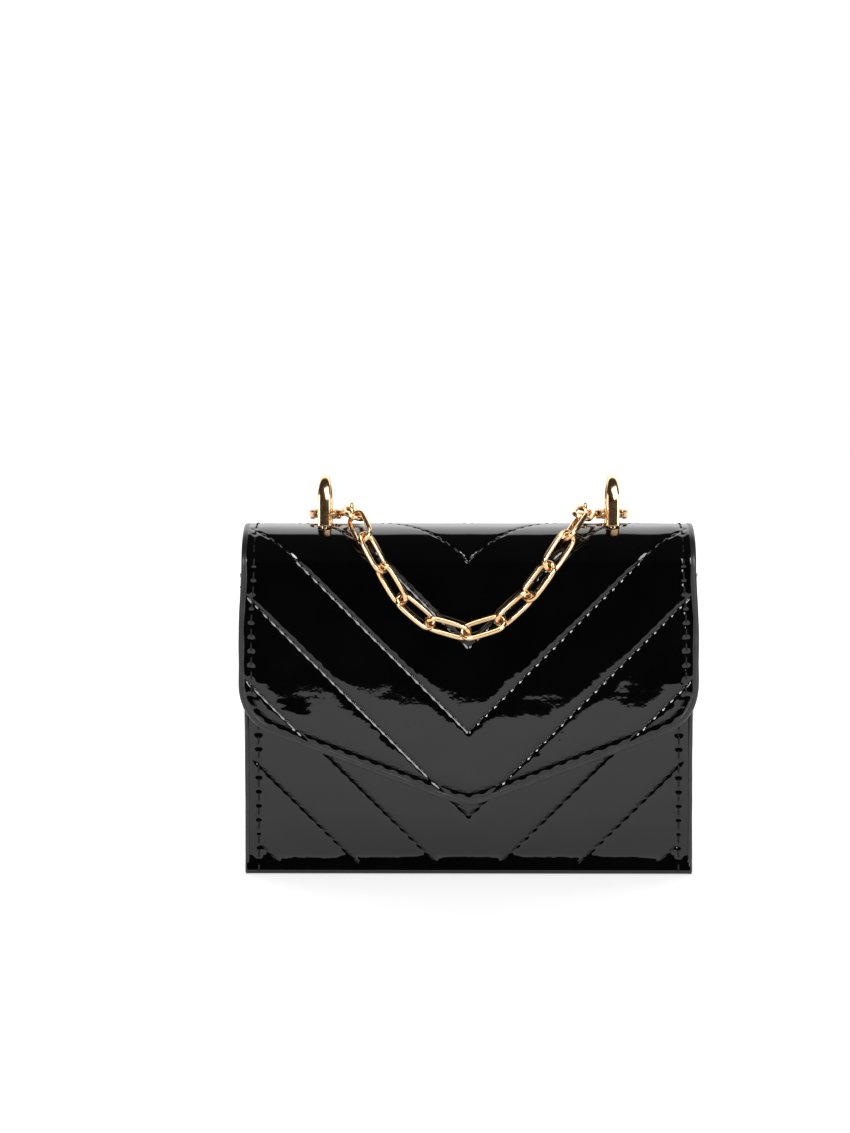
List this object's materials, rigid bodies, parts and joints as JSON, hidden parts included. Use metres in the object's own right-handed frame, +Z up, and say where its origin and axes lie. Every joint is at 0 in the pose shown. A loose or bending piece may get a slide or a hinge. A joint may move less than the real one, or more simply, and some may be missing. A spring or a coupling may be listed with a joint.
{
  "type": "crossbody purse",
  "caption": "Small tapered flap bag in chevron-quilted patent leather, with a magnetic snap, two metal arches and a draped chain handle on swivel clasps.",
  "frame": {"origin": "middle of the underside, where the bag stands", "axes": "+X across the bag to its left-hand side as worn, -Y out of the front, +Z up"},
  "size_m": [0.123, 0.0582, 0.105],
  "materials": {
    "patent": "high gloss patent",
    "lining": "matte woven",
    "board": "raw fibre board",
    "gold": "polished plate",
    "steel": "satin",
    "magnet": "sintered"
  },
  "bodies": {
    "flap": {"arch_left": "gold", "arch_nut_left_front": "steel", "arch_nut_left_rear": "steel", "arch_nut_right_front": "steel", "arch_nut_right_rear": "steel", "arch_plate_left": "steel", "arch_plate_right": "steel", "arch_right": "gold", "clasp_hook_left": "gold", "clasp_hook_right": "gold", "clasp_pin_left": "gold", "clasp_pin_right": "gold", "flap_face_board": "board", "flap_leather": "patent", "flap_lining": "lining", "flap_top_board": "board", "snap_stud": "gold", "snap_stud_plate": "steel"},
    "body": {"back_board": "board", "back_panel": "patent", "base_board": "board", "base_panel": "patent", "body_lining": "lining", "front_board": "board", "front_panel": "patent", "gusset_left": "patent", "gusset_right": "patent", "snap_magnet": "magnet", "snap_socket": "gold", "snap_socket_washer": "steel"},
    "handle": {"clasp_swivel_left": "gold", "clasp_swivel_right": "gold", "jump_ring_left": "gold", "jump_ring_right": "gold", "link_01": "gold", "link_02": "gold", "link_03": "gold", "link_04": "gold", "link_05": "gold", "link_06": "gold", "link_07": "gold", "link_08": "gold", "link_09": "gold", "link_10": "gold", "link_11": "gold", "link_12": "gold"},
    "trigger_left": {"clasp_trigger_left": "gold"},
    "trigger_right": {"clasp_trigger_right": "gold"}
  },
  "joints": [
    {"name": "flap_hinge", "type": "hinge", "parent": "body", "child": "flap", "pos_m": [0, 0.012, 0.08], "axis": [-1, 0, 0], "range_deg": [0, 160]},
    {"name": "handle_swing", "type": "hinge", "parent": "flap", "child": "handle", "pos_m": [0, -0.0084, 0.0943], "axis": [-1, 0, 0], "range_deg": [0, 160]},
    {"name": "trigger_left_press", "type": "hinge", "parent": "flap", "child": "trigger_left", "pos_m": [-0.0358, -0.0117, 0.0943], "axis": [0, 0, -1], "range_deg": [0, 20], "stiffness_Nm_per_rad": 0.005},
    {"name": "trigger_right_press", "type": "hinge", "parent": "flap", "child": "trigger_right", "pos_m": [0.0358, -0.0117, 0.0943], "axis": [0, 0, 1], "range_deg": [0, 20], "stiffness_Nm_per_rad": 0.005}
  ]
}
